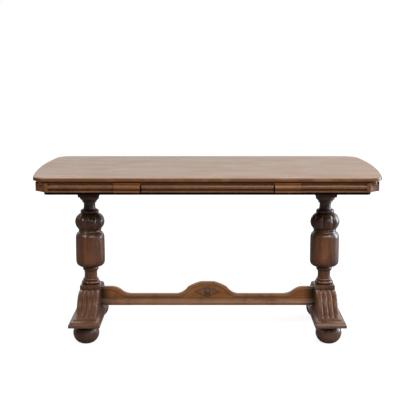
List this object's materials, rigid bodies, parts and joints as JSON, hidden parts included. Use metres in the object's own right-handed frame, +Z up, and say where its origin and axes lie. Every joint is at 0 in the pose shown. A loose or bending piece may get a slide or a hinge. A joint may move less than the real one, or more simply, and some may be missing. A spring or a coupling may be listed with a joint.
{
  "type": "extending pedestal table",
  "caption": "Oak draw-leaf dining table: loose bow-ended top over pull-out leaves, turned columns with lobed bulbs on sled feet, shaped stretcher with a lozenge.",
  "frame": {"origin": "on the floor under the centre of the top, the closed table's bounding box bottom centre", "axes": "+X along the length of the top, +Y from the front (the pictured side) to the back, +Z up"},
  "size_m": [1.508, 0.8, 0.76],
  "materials": {
    "top_oak": "satin varnish",
    "leaf_oak": "satin varnish",
    "frieze_oak": "satin varnish",
    "block_oak": "satin varnish",
    "turned_oak": "satin varnish",
    "foot_oak": "satin varnish",
    "stretcher_oak": "satin varnish",
    "moulding_oak": "satin varnish",
    "frame_oak": "stained, unpolished",
    "plain_oak": "bare",
    "baize": "felt",
    "steel": "dull"
  },
  "bodies": {
    "base": {"back_lozenge": "moulding_oak", "back_rail": "frame_oak", "baize_strips": "baize", "centre_back_lip": "frieze_oak", "centre_board": "leaf_oak", "centre_board_screws": "steel", "centre_front_lip": "frieze_oak", "front_lozenge": "moulding_oak", "front_rail": "frame_oak", "left_back_bun": "foot_oak", "left_back_scroll": "foot_oak", "left_column": "turned_oak", "left_cross_rail": "frame_oak", "left_end_rail": "frame_oak", "left_front_bun": "foot_oak", "left_front_scroll": "foot_oak", "left_keeper_rail": "frame_oak", "left_plinth": "foot_oak", "left_sled": "foot_oak", "left_yoke": "frame_oak", "rail_corner_blocks": "plain_oak", "right_back_bun": "foot_oak", "right_back_scroll": "foot_oak", "right_column": "turned_oak", "right_cross_rail": "frame_oak", "right_end_rail": "frame_oak", "right_front_bun": "foot_oak", "right_front_scroll": "foot_oak", "right_keeper_rail": "frame_oak", "right_plinth": "foot_oak", "right_sled": "foot_oak", "right_yoke": "frame_oak", "sled_screws": "steel", "stretcher": "stretcher_oak", "stretcher_back_strip": "moulding_oak", "stretcher_front_strip": "moulding_oak", "stretcher_pegs": "plain_oak", "yoke_screws": "steel"},
    "top": {"guide_pegs": "plain_oak", "top_panel": "top_oak"},
    "left_leaf": {"left_leaf_back_lip": "frieze_oak", "left_leaf_back_loper": "plain_oak", "left_leaf_corner_blocks": "frieze_oak", "left_leaf_end_lip": "frieze_oak", "left_leaf_front_lip": "frieze_oak", "left_leaf_front_loper": "plain_oak", "left_leaf_joint_blocks": "block_oak", "left_leaf_panel": "leaf_oak", "left_leaf_screws": "steel", "left_leaf_stop_pins": "plain_oak"},
    "right_leaf": {"right_leaf_back_lip": "frieze_oak", "right_leaf_back_loper": "plain_oak", "right_leaf_corner_blocks": "frieze_oak", "right_leaf_end_lip": "frieze_oak", "right_leaf_front_lip": "frieze_oak", "right_leaf_front_loper": "plain_oak", "right_leaf_joint_blocks": "block_oak", "right_leaf_panel": "leaf_oak", "right_leaf_screws": "steel", "right_leaf_stop_pins": "plain_oak"}
  },
  "joints": [
    {"name": "left_leaf_draw", "type": "slide", "parent": "base", "child": "left_leaf", "axis": [-0.9994, 0, 0.0342], "range_m": [0, 0.441]},
    {"name": "right_leaf_draw", "type": "slide", "parent": "base", "child": "right_leaf", "axis": [0.9994, 0, 0.0342], "range_m": [0, 0.441]},
    {"name": "top_lift", "type": "slide", "parent": "base", "child": "top", "axis": [0, 0, 1], "range_m": [0, 0.0155]}
  ],
  "couplings": [
    {"joint": "right_leaf_draw", "follows": "left_leaf_draw", "ratio": 1},
    {"joint": "top_lift", "follows": "left_leaf_draw", "ratio": 0.034208}
  ]
}
